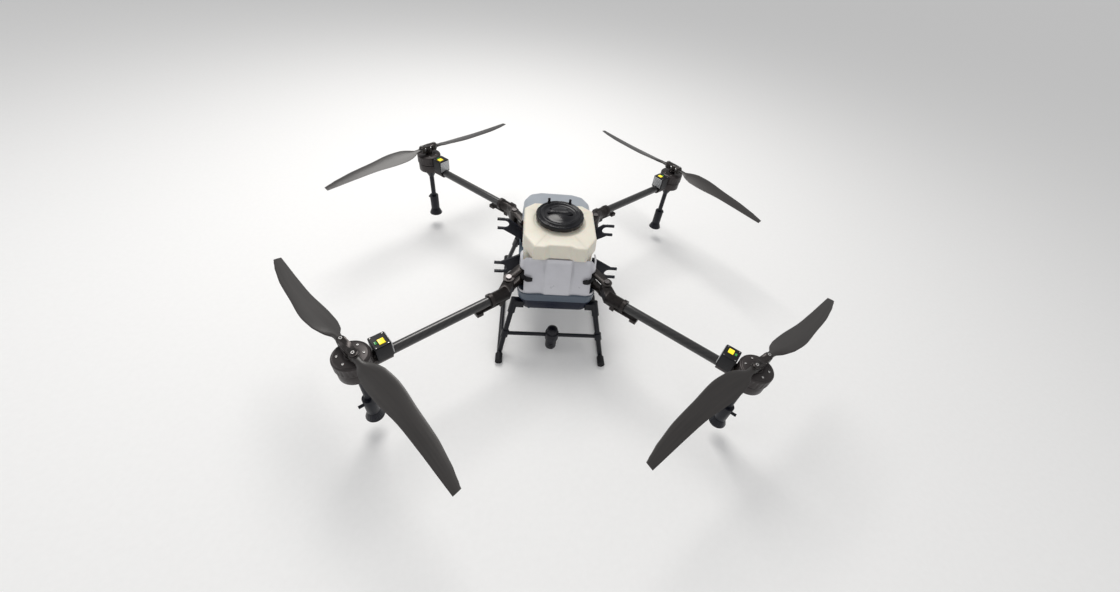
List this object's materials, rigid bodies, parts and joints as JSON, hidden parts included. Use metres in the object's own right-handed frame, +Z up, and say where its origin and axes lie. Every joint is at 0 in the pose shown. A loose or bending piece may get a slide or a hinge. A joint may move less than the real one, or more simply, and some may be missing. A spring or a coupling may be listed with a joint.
{
  "type": "agricultural spray drone",
  "caption": "Folding-arm spray drone with a lift-out liquid tank, a slide-in battery, spinning-disc nozzles under its motors, and skid landing gear.",
  "frame": {"origin": "centre of the four belly bolt holes, on the underside of the frame tray", "axes": "+Z up, -Y the front (cowl and radar side), -X the left as seen from in front"},
  "size_m": [1.7688, 1.7812, 0.479],
  "materials": {
    "tray_plastic": "navy black moulded plastic",
    "rim_plastic": "mid grey moulded plastic",
    "cowl_plastic": "silver white gloss plastic",
    "rear_cowl_plastic": "light grey plastic",
    "tank_plastic": "ivory translucent polyethylene",
    "cap_plastic": "black gloss plastic",
    "seal_rubber": "black rubber",
    "mesh_plastic": "moulded strainer basket",
    "battery_plastic": "black battery case",
    "fitting_metal": "dark anodised aluminium",
    "pin_steel": "steel",
    "clip_plastic": "black nylon",
    "carbon_tube": "gloss carbon fibre tube",
    "gear_tube": "black carbon fibre tube",
    "foot_rubber": "black rubber",
    "pod_plastic": "black plastic",
    "pump_plastic": "blue and black plastic",
    "controller_plastic": "black plastic",
    "motor_metal": "dark anodised aluminium",
    "nozzle_plastic": "black plastic",
    "hub_metal": "dark machined aluminium",
    "blade_composite": "carbon nylon composite"
  },
  "bodies": {
    "airframe": {"frame_tray": "tray_plastic", "frame_rim": "rim_plastic", "front_cowl": "cowl_plastic", "rear_cowl": "rear_cowl_plastic", "hinge_brackets": "fitting_metal", "hinge_pins": "pin_steel", "arm_clips": "clip_plastic", "landing_gear": "gear_tube", "foot_sleeves": "foot_rubber", "radar_pod": "pod_plastic", "pump": "pump_plastic"},
    "tank": {"tank_shell": "tank_plastic", "strainer": "mesh_plastic"},
    "cap": {"tank_cap": "cap_plastic", "cap_seal": "seal_rubber"},
    "battery": {"battery": "battery_plastic"},
    "front_left_arm": {"front_left_arm_knuckle": "fitting_metal", "front_left_arm_tube": "carbon_tube", "front_left_motor_mount": "motor_metal", "front_left_speed_controller": "controller_plastic", "front_left_nozzle": "nozzle_plastic"},
    "front_left_lever": {"front_left_lock_lever": "fitting_metal"},
    "front_left_rotor": {"front_left_motor_bell": "motor_metal", "front_left_prop_hub": "hub_metal"},
    "front_left_spray_disc": {"front_left_spray_disc": "nozzle_plastic"},
    "front_left_blade_a": {"front_left_blade_a": "blade_composite"},
    "front_left_blade_b": {"front_left_blade_b": "blade_composite"},
    "front_right_arm": {"front_right_arm_knuckle": "fitting_metal", "front_right_arm_tube": "carbon_tube", "front_right_motor_mount": "motor_metal", "front_right_speed_controller": "controller_plastic", "front_right_nozzle": "nozzle_plastic"},
    "front_right_lever": {"front_right_lock_lever": "fitting_metal"},
    "front_right_rotor": {"front_right_motor_bell": "motor_metal", "front_right_prop_hub": "hub_metal"},
    "front_right_spray_disc": {"front_right_spray_disc": "nozzle_plastic"},
    "front_right_blade_a": {"front_right_blade_a": "blade_composite"},
    "front_right_blade_b": {"front_right_blade_b": "blade_composite"},
    "rear_left_arm": {"rear_left_arm_knuckle": "fitting_metal", "rear_left_arm_tube": "carbon_tube", "rear_left_motor_mount": "motor_metal", "rear_left_speed_controller": "controller_plastic", "rear_left_nozzle": "nozzle_plastic"},
    "rear_left_lever": {"rear_left_lock_lever": "fitting_metal"},
    "rear_left_rotor": {"rear_left_motor_bell": "motor_metal", "rear_left_prop_hub": "hub_metal"},
    "rear_left_spray_disc": {"rear_left_spray_disc": "nozzle_plastic"},
    "rear_left_blade_a": {"rear_left_blade_a": "blade_composite"},
    "rear_left_blade_b": {"rear_left_blade_b": "blade_composite"},
    "rear_right_arm": {"rear_right_arm_knuckle": "fitting_metal", "rear_right_arm_tube": "carbon_tube", "rear_right_motor_mount": "motor_metal", "rear_right_speed_controller": "controller_plastic", "rear_right_nozzle": "nozzle_plastic"},
    "rear_right_lever": {"rear_right_lock_lever": "fitting_metal"},
    "rear_right_rotor": {"rear_right_motor_bell": "motor_metal", "rear_right_prop_hub": "hub_metal"},
    "rear_right_spray_disc": {"rear_right_spray_disc": "nozzle_plastic"},
    "rear_right_blade_a": {"rear_right_blade_a": "blade_composite"},
    "rear_right_blade_b": {"rear_right_blade_b": "blade_composite"}
  },
  "joints": [
    {"name": "tank_lift", "type": "slide", "parent": "airframe", "child": "tank", "axis": [0, 0, 1], "range_m": [0, 0.25]},
    {"name": "cap_turn", "type": "hinge", "parent": "tank", "child": "cap", "pos_m": [0, 0, 0.262], "axis": [0, 0, 1], "range_deg": [0, 90]},
    {"name": "battery_slide", "type": "slide", "parent": "airframe", "child": "battery", "axis": [0, 1, 0], "range_m": [0, 0.25]},
    {"name": "front_left_arm_fold", "type": "hinge", "parent": "airframe", "child": "front_left_arm", "pos_m": [-0.16, -0.19, 0.126], "axis": [0.0293, 0.061, -0.9977], "range_deg": [0, 110]},
    {"name": "front_left_lever_open", "type": "hinge", "parent": "front_left_arm", "child": "front_left_lever", "pos_m": [-0.18681, -0.24922, 0.099], "axis": [0.6266, -0.7793, 0], "range_deg": [0, 75]},
    {"name": "front_left_rotor_spin", "type": "hinge", "parent": "front_left_arm", "child": "front_left_rotor", "pos_m": [-0.541, -0.534, 0.181], "axis": [0, 0, 1], "continuous": true},
    {"name": "front_left_disc_spin", "type": "hinge", "parent": "front_left_arm", "child": "front_left_spray_disc", "pos_m": [-0.541, -0.534, -0.1], "axis": [0, 0, 1], "continuous": true},
    {"name": "front_left_blade_a_fold", "type": "hinge", "parent": "front_left_rotor", "child": "front_left_blade_a", "pos_m": [-0.56203, -0.5126, 0.204], "axis": [0, 0, -1], "range_deg": [-85, 85]},
    {"name": "front_left_blade_b_fold", "type": "hinge", "parent": "front_left_rotor", "child": "front_left_blade_b", "pos_m": [-0.51997, -0.5554, 0.204], "axis": [0, 0, 1], "range_deg": [-85, 85]},
    {"name": "front_right_arm_fold", "type": "hinge", "parent": "airframe", "child": "front_right_arm", "pos_m": [0.16, -0.19, 0.126], "axis": [0.0293, -0.061, 0.9977], "range_deg": [0, 110]},
    {"name": "front_right_lever_open", "type": "hinge", "parent": "front_right_arm", "child": "front_right_lever", "pos_m": [0.18681, -0.24922, 0.099], "axis": [0.6266, 0.7793, 0], "range_deg": [0, 75]},
    {"name": "front_right_rotor_spin", "type": "hinge", "parent": "front_right_arm", "child": "front_right_rotor", "pos_m": [0.541, -0.534, 0.181], "axis": [0, 0, 1], "continuous": true},
    {"name": "front_right_disc_spin", "type": "hinge", "parent": "front_right_arm", "child": "front_right_spray_disc", "pos_m": [0.541, -0.534, -0.1], "axis": [0, 0, 1], "continuous": true},
    {"name": "front_right_blade_a_fold", "type": "hinge", "parent": "front_right_rotor", "child": "front_right_blade_a", "pos_m": [0.5653, -0.51641, 0.204], "axis": [0, 0, 1], "range_deg": [-85, 85]},
    {"name": "front_right_blade_b_fold", "type": "hinge", "parent": "front_right_rotor", "child": "front_right_blade_b", "pos_m": [0.5167, -0.55159, 0.204], "axis": [0, 0, -1], "range_deg": [-85, 85]},
    {"name": "rear_left_arm_fold", "type": "hinge", "parent": "airframe", "child": "rear_left_arm", "pos_m": [-0.16, 0.19, 0.126], "axis": [0.0251, -0.0523, 0.9983], "range_deg": [0, 110]},
    {"name": "rear_left_lever_open", "type": "hinge", "parent": "rear_left_arm", "child": "rear_left_lever", "pos_m": [-0.18681, 0.24922, 0.099], "axis": [-0.6266, -0.7793, 0], "range_deg": [0, 75]},
    {"name": "rear_left_rotor_spin", "type": "hinge", "parent": "rear_left_arm", "child": "rear_left_rotor", "pos_m": [-0.541, 0.534, 0.181], "axis": [0, 0, 1], "continuous": true},
    {"name": "rear_left_disc_spin", "type": "hinge", "parent": "rear_left_arm", "child": "rear_left_spray_disc", "pos_m": [-0.541, 0.534, -0.1], "axis": [0, 0, 1], "continuous": true},
    {"name": "rear_left_blade_a_fold", "type": "hinge", "parent": "rear_left_rotor", "child": "rear_left_blade_a", "pos_m": [-0.52039, 0.5558, 0.204], "axis": [0, 0, -1], "range_deg": [-85, 85]},
    {"name": "rear_left_blade_b_fold", "type": "hinge", "parent": "rear_left_rotor", "child": "rear_left_blade_b", "pos_m": [-0.56161, 0.5122, 0.204], "axis": [0, 0, 1], "range_deg": [-85, 85]},
    {"name": "rear_right_arm_fold", "type": "hinge", "parent": "airframe", "child": "rear_right_arm", "pos_m": [0.16, 0.19, 0.126], "axis": [0.0251, 0.0523, -0.9983], "range_deg": [0, 110]},
    {"name": "rear_right_lever_open", "type": "hinge", "parent": "rear_right_arm", "child": "rear_right_lever", "pos_m": [0.18681, 0.24922, 0.099], "axis": [-0.6266, 0.7793, 0], "range_deg": [0, 75]},
    {"name": "rear_right_rotor_spin", "type": "hinge", "parent": "rear_right_arm", "child": "rear_right_rotor", "pos_m": [0.541, 0.534, 0.181], "axis": [0, 0, 1], "continuous": true},
    {"name": "rear_right_disc_spin", "type": "hinge", "parent": "rear_right_arm", "child": "rear_right_spray_disc", "pos_m": [0.541, 0.534, -0.1], "axis": [0, 0, 1], "continuous": true},
    {"name": "rear_right_blade_a_fold", "type": "hinge", "parent": "rear_right_rotor", "child": "rear_right_blade_a", "pos_m": [0.522, 0.55722, 0.204], "axis": [0, 0, 1], "range_deg": [-85, 85]},
    {"name": "rear_right_blade_b_fold", "type": "hinge", "parent": "rear_right_rotor", "child": "rear_right_blade_b", "pos_m": [0.56, 0.51078, 0.204], "axis": [0, 0, -1], "range_deg": [-85, 85]}
  ]
}
